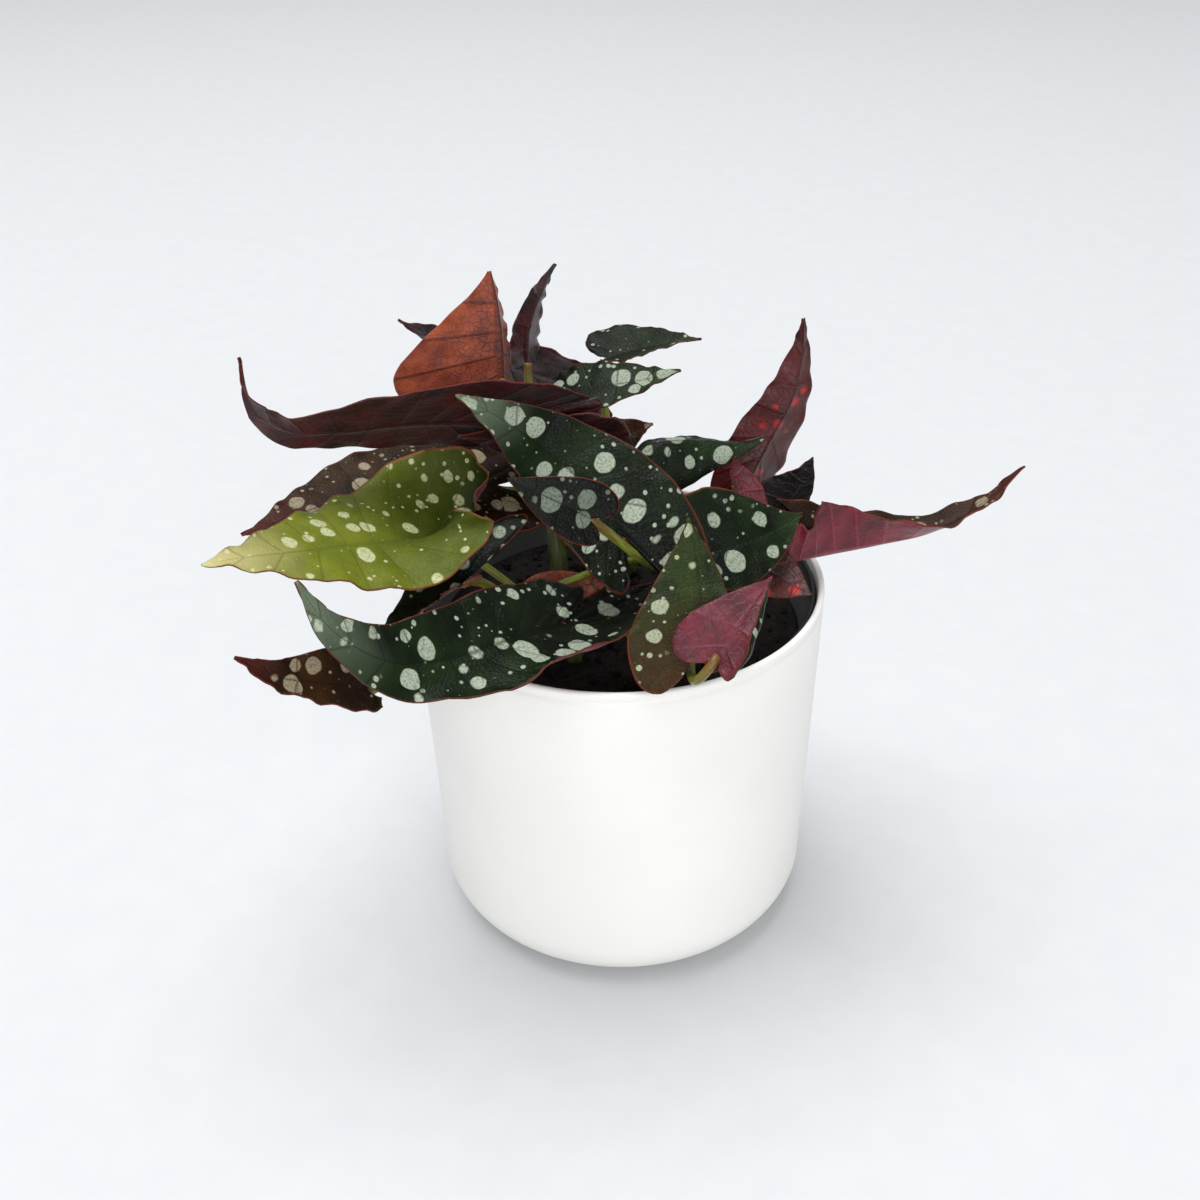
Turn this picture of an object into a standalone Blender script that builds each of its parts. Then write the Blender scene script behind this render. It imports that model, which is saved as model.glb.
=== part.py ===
"""A potted polka dot begonia: planter, nursery pot with soil, four canes, and leaves on their petioles.

Origin at the centre of the planter's flat base, +Z up, front at -Y. Run it with
blender --background --python part.py, or from the text editor.
"""

import math

import bmesh
import bpy
from mathutils import Vector

MM = 0.001
GAP = 0.35                     # clearance between pieces that touch, mm
SLACK = 0.2                    # added where a clearance is taken across faceted or curved pieces, mm

# Planter: a moulded pot with a slight taper and a soft bottom edge, mm
PLANTER_HEIGHT = 128.0
PLANTER_TOP_RADIUS = 70.0
PLANTER_BASE_RADIUS = 66.4     # where the side meets the bottom rounding
PLANTER_CORNER = 18.0
PLANTER_WALL = 2.2
RIM_BEAD = 3.0                 # height of the lip above its parting line
ROUND_STEPS = 44

# Nursery pot: thin black pot that carries the soil, mm
NURSERY_TOP = PLANTER_HEIGHT - 2.5
NURSERY_TOP_RADIUS = PLANTER_TOP_RADIUS - PLANTER_WALL - 0.8
NURSERY_LIP = 9.0
NURSERY_LIP_STEP = 2.5
NURSERY_BASE_RADIUS = 47.0
NURSERY_WALL = 1.2

SOIL_LEVEL = 110.0
SOIL_MOUND = 2.5

LEAF_THICKNESS = 0.7
LEAF_ROWS = 8                  # from the edge of the sinus to the tip
LEAF_COLUMNS = 2               # from the rib to one margin
PETIOLE_RADIUS = 1.6
PETIOLE_POINTS = 6
PETIOLE_BEND = 0.35            # share of its length over which a petiole turns at either end
CANE_RADIUS = 3.4
CANE_TAPER = 0.25              # share of its radius that a cane loses by its top

# Half a blade's outline, from the basal lobe round to the tip, as (share of the blade's length along the rib,
# share of that half's width across it). The first point ends the edge of the sinus.
NARROW_HALF = [(-0.13, 0.20), (-0.21, 0.52), (-0.12, 0.84), (0.08, 1.0), (0.30, 0.95), (0.52, 0.75),
               (0.72, 0.47), (0.88, 0.19), (1.0, 0.015)]
WIDE_HALF = [(-0.13, 0.16), (-0.24, 0.48), (-0.19, 0.82), (0.0, 1.0), (0.24, 0.90), (0.48, 0.66),
             (0.70, 0.39), (0.87, 0.16), (1.0, 0.012)]

# Canes: points from the soil upwards, mm
CANES = {
    "cane_left": [(-20, 8, 0), (-20, 8, 6), (-22, 16, 30), (-26, 26, 48)],
    "cane_back": [(4, 30, 0), (4, 30, 6), (1, 40, 32), (-4, 48, 50)],
    "cane_front": [(-16, -27, 0), (-16, -27, 4), (-20, -29, 14)],
    "cane_right": [(25, 2, 0), (25, 2, 5), (29, 0, 22), (31, 3, 34)],
}

# Leaves, in mm and degrees. rib: points from the petiole's joint to the tip. face: which way the upper side
# looks, from joint to tip. width: left half, right half. fold: how steeply each half rises from the rib, and
# curl: how much more it has turned at its margin, both from the basal lobes to the tip. lobe: length of the
# basal lobes against the outline's, negative where a lobe is cut back. wrap: how far a lobe crosses behind the
# joint. stalk: the petiole's cane, its place on that cane, how far it leans from square to the blade, and how
# steeply it leaves the cane.
LEAVES = {
    "leaf_sickle": dict(
        rib=[(-27, 16, 177), (-40, 12, 180), (-52, 4, 185), (-69, -3, 188), (-87, -9, 189), (-102, -14,
             192), (-111, -17, 202), (-114, -15, 217)],
        face=[(0, 0.85, 0.5), (0, 0.85, 0.5), (0, 0.85, 0.5), (0, 0.85, 0.5), (0.9, -0.35, 0.3)],
             width=(25, 14),
        lobe=(0.7, 0.9), stalk=("cane_left", 1, 85, 65)),
    "leaf_orange": dict(
        rib=[(-38, 34, 186), (-38, 38, 198), (-39, 42, 210), (-41, 46, 221)],
        face=[(0, 0.9, -0.35)], width=(9, 38), fold=[(78, 0)],
        curl=[(0, 15)], lobe=(1, 1.2), stalk=("cane_back", 1, 0, 65)),
    "leaf_upright": dict(
        rib=[(-30, 44, 189), (-29, 46, 200), (-25, 48, 211), (-19, 52, 221)],
        face=[(-0.3, 0.9, 0)], width=(12, 6), fold=[(50, 50)],
        stalk=("cane_left", 1, 85, 65)),
    "leaf_back": dict(
        rib=[(-15, 60, 174), (-30, 64, 177), (-48, 68, 182), (-64, 72, 188), (-77, 74, 194)],
        face=[(0, 0.85, 0.4)], width=(14, 20),
        lobe=(0.6, 1), stalk=("cane_back", 1, 60, 65)),
    "leaf_top_right": dict(
        rib=[(-2, 58, 184), (8, 60, 186), (19, 58, 189), (31, 54, 192)],
        face=[(-0.2, -0.3, 0.9), (0, -0.2, 1)], width=(15, 8), fold=[(5, 20)],
        lobe=(0.6, 0.6), stalk=("cane_back", 1, 60, 65)),
    "leaf_small_right": dict(
        rib=[(-17, 30, 183), (-5, 26, 187), (9, 24, 190), (22, 22, 194)],
        face=[(0, -0.35, 0.93)], width=(12, 12.5), fold=[(5, 0)],
        lobe=(0.6, 2.2), stalk=("cane_back", 0.95, 30, 65)),
    "leaf_olive": dict(
        rib=[(-54, -20, 156), (-68, -34, 163), (-82, -45, 168), (-95, -55, 172), (-109, -63, 175),
             (-121, -67, 175)],
        face=[(-0.1, -0.3, 0.95)], width=(23, 36), fold=[(65, 0), (50, 0), (-5, -4), (-5, -2), (0, 0)],
        curl=[(0, 130), (10, 110), (0, 0), (0, 0), (0, 0)], lobe=(-0.7, 1.4),
        stalk=("cane_front", 1, 60, 65)),
    "leaf_brown": dict(
        rib=[(-41, 14, 157), (-63, 8, 161), (-85, -2, 163), (-102, -14, 163), (-119, -26, 162)],
        face=[(-0.1, -0.3, 0.95)], width=(25, 25),
        stalk=("cane_left", 0.75, 60, 65)),
    "leaf_shadow": dict(
        rib=[(-7, 12, 168), (-22, 11, 172), (-37, 8, 177), (-52, 4, 180)],
        face=[(0, 0.9, 0.3)], width=(19, 12), fold=[(0, 10)],
        lobe=(0.8, 1), stalk=("cane_left", 0.75, 0, 65)),
    "leaf_centre": dict(
        rib=[(1, -30, 161), (-7, -22, 171), (-21, -14, 182), (-36, -17, 196), (-49, -19, 205)],
        face=[(0.1, -0.75, 0.65)], width=(18, 21), fold=[(5, 5)],
        lobe=(1.1, 1.9), stalk=("cane_right", 0.9, 30, 65)),
    "leaf_dark_lobe": dict(
        rib=[(-9, -50, 178), (-17, -50, 183), (-25, -49, 187), (-33, -48, 191)],
        face=[(0, -0.8, 0.6)], width=(9, 11), fold=[(5, 5)],
        stalk=("cane_right", 0.6, 60, 10)),
    "leaf_lobed": dict(
        rib=[(-49, -40, 151), (-59, -46, 147), (-68, -51, 143), (-76, -55, 140)],
        face=[(0, -0.7, 0.7)], width=(6, 14), fold=[(20, 0), (70, -10), (70, -15), (70, 0)],
        lobe=(1, 3.8), stalk=("cane_front", 0.3, 60, 40)),
    "leaf_front_left": dict(
        rib=[(-18, -48, 140), (-34, -64, 145), (-50, -78, 148), (-66, -88, 154), (-80, -92, 167), (-90,
             -86, 180)],
        face=[(0, -0.35, 0.93), (0, -0.5, 0.85), (0.35, -0.7, 0.6), (0.4, -0.8, 0.5)], width=(21, 19),
             fold=[(0, 5)],
        curl=[(20, 0), (60, 0), (60, 0), (10, 0), (0, 0)], lobe=(1.9, 0.8), wrap=(0.5, 0),
             stalk=("cane_front", 1, 60, 65)),
    "leaf_low_left": dict(
        rib=[(-78, -64, 128), (-88, -72, 136), (-100, -80, 144), (-111, -84, 154)],
        face=[(0, -0.6, 0.8)], width=(8, 13), fold=[(0, 0), (5, 10)],
        curl=[(0, 0), (20, 20), (20, 20)], lobe=(0.5, 0.5), stalk=("cane_front", 1, 22, 65)),
    "leaf_hanging": dict(
        rib=[(23, -66, 143), (24, -58, 152), (23, -48, 162), (21, -40, 172)],
        face=[(0, -0.7, 0.7)], width=(22, 9),
        lobe=(1.7, 1), stalk=("cane_front", 1, 30, 65)),
    "leaf_folded": dict(
        rib=[(28, -74, 144), (33, -70, 150), (39, -64, 156), (45, -58, 161)],
        face=[(0.2, 0.8, -0.5)], width=(13, 15),
        curl=[(-40, 0), (-170, 0), (-170, 0)], stalk=("cane_right", 0.3, 85, 10)),
    "leaf_long_right": dict(
        rib=[(53, -12, 139), (71, -6, 139), (88, -2, 140), (106, 2, 142), (123, 6, 150), (137, 10, 162)],
        face=[(-0.2, 0, 1)], width=(17, 16), fold=[(40, 75), (40, 75), (35, 70), (10, 20), (0, 0)],
        lobe=(-0.5, -0.8), stalk=("cane_right", 0.75, 30, 65)),
    "leaf_inside": dict(
        rib=[(47, -16, 140), (54, -22, 138), (62, -28, 136)],
        face=[(0, 0.7, -0.7)], width=(9, 9),
        stalk=("cane_right", 0.9, 85, 65)),
    "leaf_red_upright": dict(
        rib=[(46, 22, 153), (53, 26, 166), (60, 28, 180), (63, 30, 195), (63, 30, 208)],
        face=[(-0.3, 0.9, 0.1)], width=(14, 13), fold=[(15, 15)],
        stalk=("cane_right", 0.6, 85, 40)),
    "leaf_saddle": dict(
        rib=[(9, 5, 172), (16, 8, 175), (28, 10, 174), (40, 10, 173), (50, 10, 175)],
        face=[(0, -0.3, 0.95)], width=(7, 20), fold=[(0, 0), (-30, -30), (-30, -30), (-30, -30)],
        curl=[(0, 0), (0, -30), (0, -30)], stalk=("cane_right", 1, 30, 75)),
    "leaf_curled": dict(
        rib=[(43, -2, 153), (42, 2, 159), (39, 4, 166), (39, 4, 171)],
        face=[(0, 0.85, -0.5)], width=(7, 9),
        curl=[(0, 0), (0, -120), (0, -120)], stalk=("cane_left", 0.45, 30, 65)),
    "leaf_black": dict(
        rib=[(53, 10, 141), (58, 12, 149), (63, 12, 157), (66, 12, 166)],
        face=[(0, 0.9, -0.2)], width=(8, 15),
        curl=[(20, 0)], stalk=("cane_right", 0.75, 85, 65)),
    "leaf_pink_edge": dict(
        rib=[(31, -26, 152), (40, -22, 153), (51, -16, 154), (60, -10, 156)],
        face=[(0, -0.8, 0.6)], width=(21, 14), fold=[(0, 5)],
        curl=[(30, 0)], lobe=(2.3, 1), stalk=("cane_right", 0.9, 30, 65)),
    "leaf_crumpled": dict(
        rib=[(-5, 28, 163), (0, 30, 165), (7, 31, 168), (13, 30, 171)],
        face=[(0, -0.5, 0.85)], width=(9, 9), fold=[(10, 10)],
        stalk=("cane_back", 0.9, 60, 65)),
    "leaf_deep": dict(
        rib=[(-26, -20, 133), (-19, -19, 135), (-10, -18, 136), (0, -17, 138)],
        face=[(0, 0.8, -0.5)], width=(6, 7),
        stalk=("cane_right", 0.55, 30, 65)),
}


def between(values, share):
    """A smooth point at a share of the way through a list of points or pairs."""
    points = [Vector(value) for value in values]
    if len(points) == 1:
        return points[0]
    place = max(0.0, min(1.0, share)) * (len(points) - 1)
    step = min(int(place), len(points) - 2)
    t = place - step
    before, start, end, after = (points[max(0, min(len(points) - 1, step + k))] for k in (-1, 0, 1, 2))
    slope_in, slope_out = (end - before) / 2, (after - start) / 2
    return (start * (2 * t**3 - 3 * t**2 + 1) + slope_in * (t**3 - 2 * t**2 + t)
            + end * (3 * t**2 - 2 * t**3) + slope_out * (t**3 - t**2))


def smooth_path(points, count=96):
    """Evenly spaced points of a smooth curve through the given ones, and the curve's length."""
    fine = [between(points, k / (4 * count)) for k in range(4 * count + 1)]
    reach = [0.0]
    for a, b in zip(fine, fine[1:]):
        reach.append(reach[-1] + (b - a).length)
    path, k = [], 0
    for n in range(count + 1):
        wanted = reach[-1] * n / count
        while k < len(reach) - 2 and reach[k + 1] < wanted:
            k += 1
        part = (wanted - reach[k]) / max(reach[k + 1] - reach[k], 1e-9)
        path.append(fine[k].lerp(fine[k + 1], min(part, 1.0)))
    return path, reach[-1]


class Blade:
    """The surface of a leaf's upper side."""

    def __init__(self, shape):
        self.face = shape["face"]
        self.width = shape["width"]
        self.fold = shape.get("fold", [(0, 0)])
        self.curl = shape.get("curl", [(0, 0)])
        self.lobe = shape.get("lobe", (1, 1))
        self.wrap = shape.get("wrap", (0, 0))
        self.path, self.length = smooth_path(shape["rib"])

    def frame(self, share):
        """Rib point, direction to the tip, upper normal and left at a share of the rib."""
        last = len(self.path) - 1
        place = max(0.0, min(1.0, share)) * last
        k = min(int(place), last - 1)
        point = self.path[k].lerp(self.path[k + 1], place - k)
        tangent = (self.path[min(k + 2, last)] - self.path[max(k - 1, 0)]).normalized()
        face = between(self.face, share)
        normal = (face - tangent * face.dot(tangent)).normalized()
        return point, tangent, normal, normal.cross(tangent)

    def at(self, row, column):
        """row: 0 at the sinus to 1 at the tip. column: -1 at the right margin, 0 on the rib, 1 at the left."""
        side = 0 if column >= 0 else 1
        outline = WIDE_HALF if self.width[side] > self.width[1 - side] else NARROW_HALF
        along, across = between(outline, row)
        if along < 0:
            along *= self.lobe[side]
        across -= self.wrap[side] * max(0.0, 1 - row / 0.3)
        start = row**1.5
        point, tangent, normal, left = self.frame(start)
        across *= self.width[side] if side == 0 else -self.width[side]
        reach = tangent * (along - start) * self.length + left * across
        fold = math.radians(between(self.fold, row)[side])
        curl = math.radians(between(self.curl, row)[side])
        steps = 8
        for k in range(steps):
            angle = fold + curl * (abs(column) * (k + 0.5) / steps) ** 2
            bent = reach * math.cos(angle) + normal * reach.length * math.sin(angle)
            point = point + bent * abs(column) / steps
        return point


def material(name, colour, roughness):
    made = bpy.data.materials.new(name)
    made.use_nodes = True
    shader = made.node_tree.nodes["Principled BSDF"]
    shader.inputs["Base Color"].default_value = (*colour, 1)
    shader.inputs["Roughness"].default_value = roughness
    return made


def add_object(name, data, collection, finish):
    made = bpy.data.objects.new(name, data)
    collection.objects.link(made)
    made.data.materials.append(finish)
    return made


def add_leaf(name, shape, collection, finish):
    """A thin closed sheet: a grid over the blade's rows and columns, thickened away from its upper side."""
    blade = Blade(shape)
    mesh = bmesh.new()
    grid = [[mesh.verts.new(blade.at(row / LEAF_ROWS, column / LEAF_COLUMNS) * MM)
             for column in range(-LEAF_COLUMNS, LEAF_COLUMNS + 1)] for row in range(LEAF_ROWS + 1)]
    for first, second in zip(grid, grid[1:]):
        for k in range(2 * LEAF_COLUMNS):
            mesh.faces.new((first[k + 1], first[k], second[k], second[k + 1]))
    data = bpy.data.meshes.new(name)
    mesh.to_mesh(data)
    mesh.free()
    leaf = add_object(name, data, collection, finish)
    sheet = leaf.modifiers.new("Thickness", "SOLIDIFY")
    sheet.thickness = LEAF_THICKNESS * MM
    sheet.offset = -1
    sheet.use_even_offset = False
    return blade


def add_tube(name, points, radius, collection, finish, taper=None, sides=1):
    """A round stem along the given points, in mm."""
    curve = bpy.data.curves.new(name, "CURVE")
    curve.dimensions = "3D"
    curve.bevel_depth = radius * MM
    curve.bevel_resolution = sides
    curve.use_fill_caps = True
    line = curve.splines.new("POLY")
    line.points.add(len(points) - 1)
    for k, point in enumerate(points):
        line.points[k].co = (*(point * MM), 1)
        line.points[k].radius = taper(k / (len(points) - 1)) if taper else 1.0
    return add_object(name, curve, collection, finish)


def cane_path(name):
    foot = Vector((0, 0, SOIL_LEVEL + SOIL_MOUND + GAP + SLACK))
    return smooth_path([Vector(point) + foot for point in CANES[name]], 24)[0]


def add_petiole(name, shape, blade, collection, finish):
    """A stalk from its cane to just under the blade's joint, as one soft bend."""
    cane, share, lean, lift = shape["stalk"]
    lean, lift = math.radians(lean), math.radians(lift)
    path = cane_path(cane)
    foot = path[round(share * (len(path) - 1))]
    joint, tangent, normal, _ = blade.frame(0)
    arriving = normal * math.cos(lean) + tangent * math.sin(lean)
    end = joint - normal * (LEAF_THICKNESS + GAP + SLACK + PETIOLE_RADIUS * math.sin(lean))
    out = end - foot
    out.z = 0
    out.normalize()
    leaving = out * math.cos(lift) + Vector((0, 0, math.sin(lift)))
    start = foot + out * (CANE_RADIUS * (1 - CANE_TAPER * share) + GAP + PETIOLE_RADIUS * math.sin(lift))
    reach = (end - start).length * PETIOLE_BEND
    knee, neck = start + leaving * reach, end - arriving * reach
    points = []
    for k in range(PETIOLE_POINTS):
        t = k / (PETIOLE_POINTS - 1)
        points.append(start * (1 - t)**3 + knee * 3 * t * (1 - t)**2 + neck * 3 * t * t * (1 - t) + end * t**3)
    return add_tube(name, points, PETIOLE_RADIUS, collection, finish)


def add_turned(name, profile, collection, finish):
    """A profile of (radius, height) in mm, turned about Z. It runs down the outside and back up inside."""
    data = bpy.data.meshes.new(name)
    edges = [(k, (k + 1) % len(profile)) for k in range(len(profile))]
    edges = [(a, b) for a, b in edges if profile[a][0] or profile[b][0]]
    data.from_pydata([(r * MM, 0, z * MM) for r, z in profile], edges, [])
    turned = add_object(name, data, collection, finish)
    screw = turned.modifiers.new("Turn", "SCREW")
    screw.steps = screw.render_steps = ROUND_STEPS
    screw.use_merge_vertices = True
    screw.merge_threshold = 0.00005
    screw.use_smooth_shade = True
    return turned


def arc(centre, radius, start, end, steps):
    """Profile points on an arc, angles in degrees from +radius towards +height."""
    angles = [math.radians(start + (end - start) * k / steps) for k in range(steps + 1)]
    return [(centre[0] + radius * math.cos(a), centre[1] + radius * math.sin(a)) for a in angles]


def add_planter(collection, finish):
    corner = PLANTER_CORNER
    inner_corner = corner - PLANTER_WALL
    base, wall, top = PLANTER_BASE_RADIUS, PLANTER_WALL, PLANTER_HEIGHT
    lip = wall / 2
    centre = (base - corner, corner)
    profile = arc((PLANTER_TOP_RADIUS - lip, top - lip), lip, 90, 0, 3)
    profile += [(PLANTER_TOP_RADIUS - 0.05, top - RIM_BEAD), (PLANTER_TOP_RADIUS - 0.35, top - RIM_BEAD - 0.3)]
    profile += arc(centre, corner, 0, -90, 6)
    profile += [(0, 0), (0, wall)]
    profile += arc(centre, inner_corner, -90, 0, 5)
    profile += arc((PLANTER_TOP_RADIUS - lip, top - lip), lip, 180, 90, 2)[:-1]
    return add_turned("planter", profile, collection, finish)


def add_nursery_pot(collection, finish):
    floor = PLANTER_WALL + GAP
    lip_radius = NURSERY_TOP_RADIUS
    body = lip_radius - NURSERY_LIP_STEP
    wall = NURSERY_WALL
    profile = [(lip_radius - wall, NURSERY_TOP), (lip_radius, NURSERY_TOP),
               (lip_radius, NURSERY_TOP - NURSERY_LIP), (body, NURSERY_TOP - NURSERY_LIP),
               (NURSERY_BASE_RADIUS, floor), (0, floor), (0, floor + wall),
               (NURSERY_BASE_RADIUS - wall, floor + wall), (body - wall, NURSERY_TOP - NURSERY_LIP + wall),
               (lip_radius - wall, NURSERY_TOP - NURSERY_LIP + wall)]
    return add_turned("nursery_pot", profile, collection, finish)


def add_soil(collection, finish):
    floor = PLANTER_WALL + GAP + NURSERY_WALL + GAP
    wall_top = NURSERY_TOP_RADIUS - NURSERY_LIP_STEP - NURSERY_WALL - GAP
    foot = NURSERY_BASE_RADIUS - NURSERY_WALL - GAP - 0.2
    slope = (wall_top - foot) / (NURSERY_TOP - NURSERY_LIP - floor)
    edge = foot + slope * (SOIL_LEVEL - floor) - 0.2
    mound = [(edge * k / 5, SOIL_LEVEL + SOIL_MOUND * (1 - (k / 5)**4)) for k in range(6)]
    return add_turned("soil", mound + [(foot, floor), (0, floor)], collection, finish)


def main():
    for old in list(bpy.data.objects):
        bpy.data.objects.remove(old)
    parts = bpy.data.collections.new("polka_dot_begonia")
    bpy.context.scene.collection.children.link(parts)
    add_planter(parts, material("planter", (0.9, 0.9, 0.88), 0.5))
    add_nursery_pot(parts, material("nursery_pot", (0.01, 0.01, 0.01), 0.5))
    add_soil(parts, material("soil", (0.03, 0.02, 0.012), 0.95))
    cane_finish = material("cane", (0.2, 0.22, 0.05), 0.5)
    petiole_finish = material("petiole", (0.25, 0.28, 0.06), 0.45)
    leaf_finish = material("leaf", (0.02, 0.06, 0.015), 0.4)
    for name in CANES:
        add_tube(name, cane_path(name)[::3], CANE_RADIUS, parts, cane_finish, lambda t: 1 - CANE_TAPER * t, 2)
    for name, shape in LEAVES.items():
        blade = add_leaf(name, shape, parts, leaf_finish)
        add_petiole(name.replace("leaf", "petiole"), shape, blade, parts, petiole_finish)


main()
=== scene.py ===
import math
import random

import bmesh
import bpy
from mathutils import Euler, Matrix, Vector, noise


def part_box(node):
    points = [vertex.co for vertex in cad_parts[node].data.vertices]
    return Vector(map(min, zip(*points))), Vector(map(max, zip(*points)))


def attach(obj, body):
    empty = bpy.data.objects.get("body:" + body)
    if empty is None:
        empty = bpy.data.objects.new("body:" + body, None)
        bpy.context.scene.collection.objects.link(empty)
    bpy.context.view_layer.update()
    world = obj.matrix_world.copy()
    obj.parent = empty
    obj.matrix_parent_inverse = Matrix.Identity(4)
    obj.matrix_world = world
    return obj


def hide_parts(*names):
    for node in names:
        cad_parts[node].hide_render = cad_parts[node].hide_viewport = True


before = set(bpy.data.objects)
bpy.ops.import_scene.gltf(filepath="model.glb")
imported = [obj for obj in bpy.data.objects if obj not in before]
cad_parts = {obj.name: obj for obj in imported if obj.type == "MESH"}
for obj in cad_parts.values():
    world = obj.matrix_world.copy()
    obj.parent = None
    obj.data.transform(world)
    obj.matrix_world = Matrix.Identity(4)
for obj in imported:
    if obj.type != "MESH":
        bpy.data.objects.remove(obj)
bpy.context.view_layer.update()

mm = 0.001


# colours, nodes and objects

def toLinear(hexColour):
    parts = [int(hexColour[k:k + 2], 16) / 255 for k in (1, 3, 5)]
    return tuple(p / 12.92 if p <= 0.04045 else ((p + 0.055) / 1.055) ** 2.4 for p in parts) + (1.0,)


def addNode(tree, kind, inputs=None, **settings):
    node = tree.nodes.new("ShaderNode" + kind)
    for key, value in settings.items():
        setattr(node, key, value)
    for socket, value in (inputs or {}).items():
        if isinstance(value, bpy.types.NodeSocket):
            tree.links.new(value, node.inputs[socket])
        else:
            node.inputs[socket].default_value = value
    return node.outputs[0]


def newMaterial(name, **shaderInputs):
    material = bpy.data.materials.new(name)
    material.use_nodes = True
    shader = material.node_tree.nodes["Principled BSDF"]
    for socket, value in shaderInputs.items():
        shader.inputs[socket.replace("_", " ")].default_value = value
    return material, material.node_tree, shader


def meshObject(name, verts, faces, materials, smooth=True):
    mesh = bpy.data.meshes.new(name)
    mesh.from_pydata([tuple(v) for v in verts], [], faces)
    mesh.update()
    if smooth:
        mesh.polygons.foreach_set("use_smooth", [True] * len(mesh.polygons))
    piece = bpy.data.objects.new(name, mesh)
    bpy.context.scene.collection.objects.link(piece)
    for material in materials:
        mesh.materials.append(material)
    return piece


def standFor(piece, node):
    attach(piece, "root")
    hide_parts(node)


# smooth curves through a few points

def between(values, share):
    points = [Vector(value) for value in values]
    if len(points) == 1:
        return points[0]
    place = max(0.0, min(1.0, share)) * (len(points) - 1)
    step = min(int(place), len(points) - 2)
    t = place - step
    before, start, end, after = (points[max(0, min(len(points) - 1, step + k))] for k in (-1, 0, 1, 2))
    slopeIn, slopeOut = (end - before) / 2, (after - start) / 2
    return (start * (2 * t**3 - 3 * t**2 + 1) + slopeIn * (t**3 - 2 * t**2 + t)
            + end * (3 * t**2 - 2 * t**3) + slopeOut * (t**3 - t**2))


def smoothPath(points, count=96):
    fine = [between(points, k / (4 * count)) for k in range(4 * count + 1)]
    reach = [0.0]
    for a, b in zip(fine, fine[1:]):
        reach.append(reach[-1] + (b - a).length)
    path, k = [], 0
    for n in range(count + 1):
        wanted = reach[-1] * n / count
        while k < len(reach) - 2 and reach[k + 1] < wanted:
            k += 1
        part = (wanted - reach[k]) / max(reach[k + 1] - reach[k], 1e-9)
        path.append(fine[k].lerp(fine[k + 1], min(part, 1.0)))
    return path, reach[-1]


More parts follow.
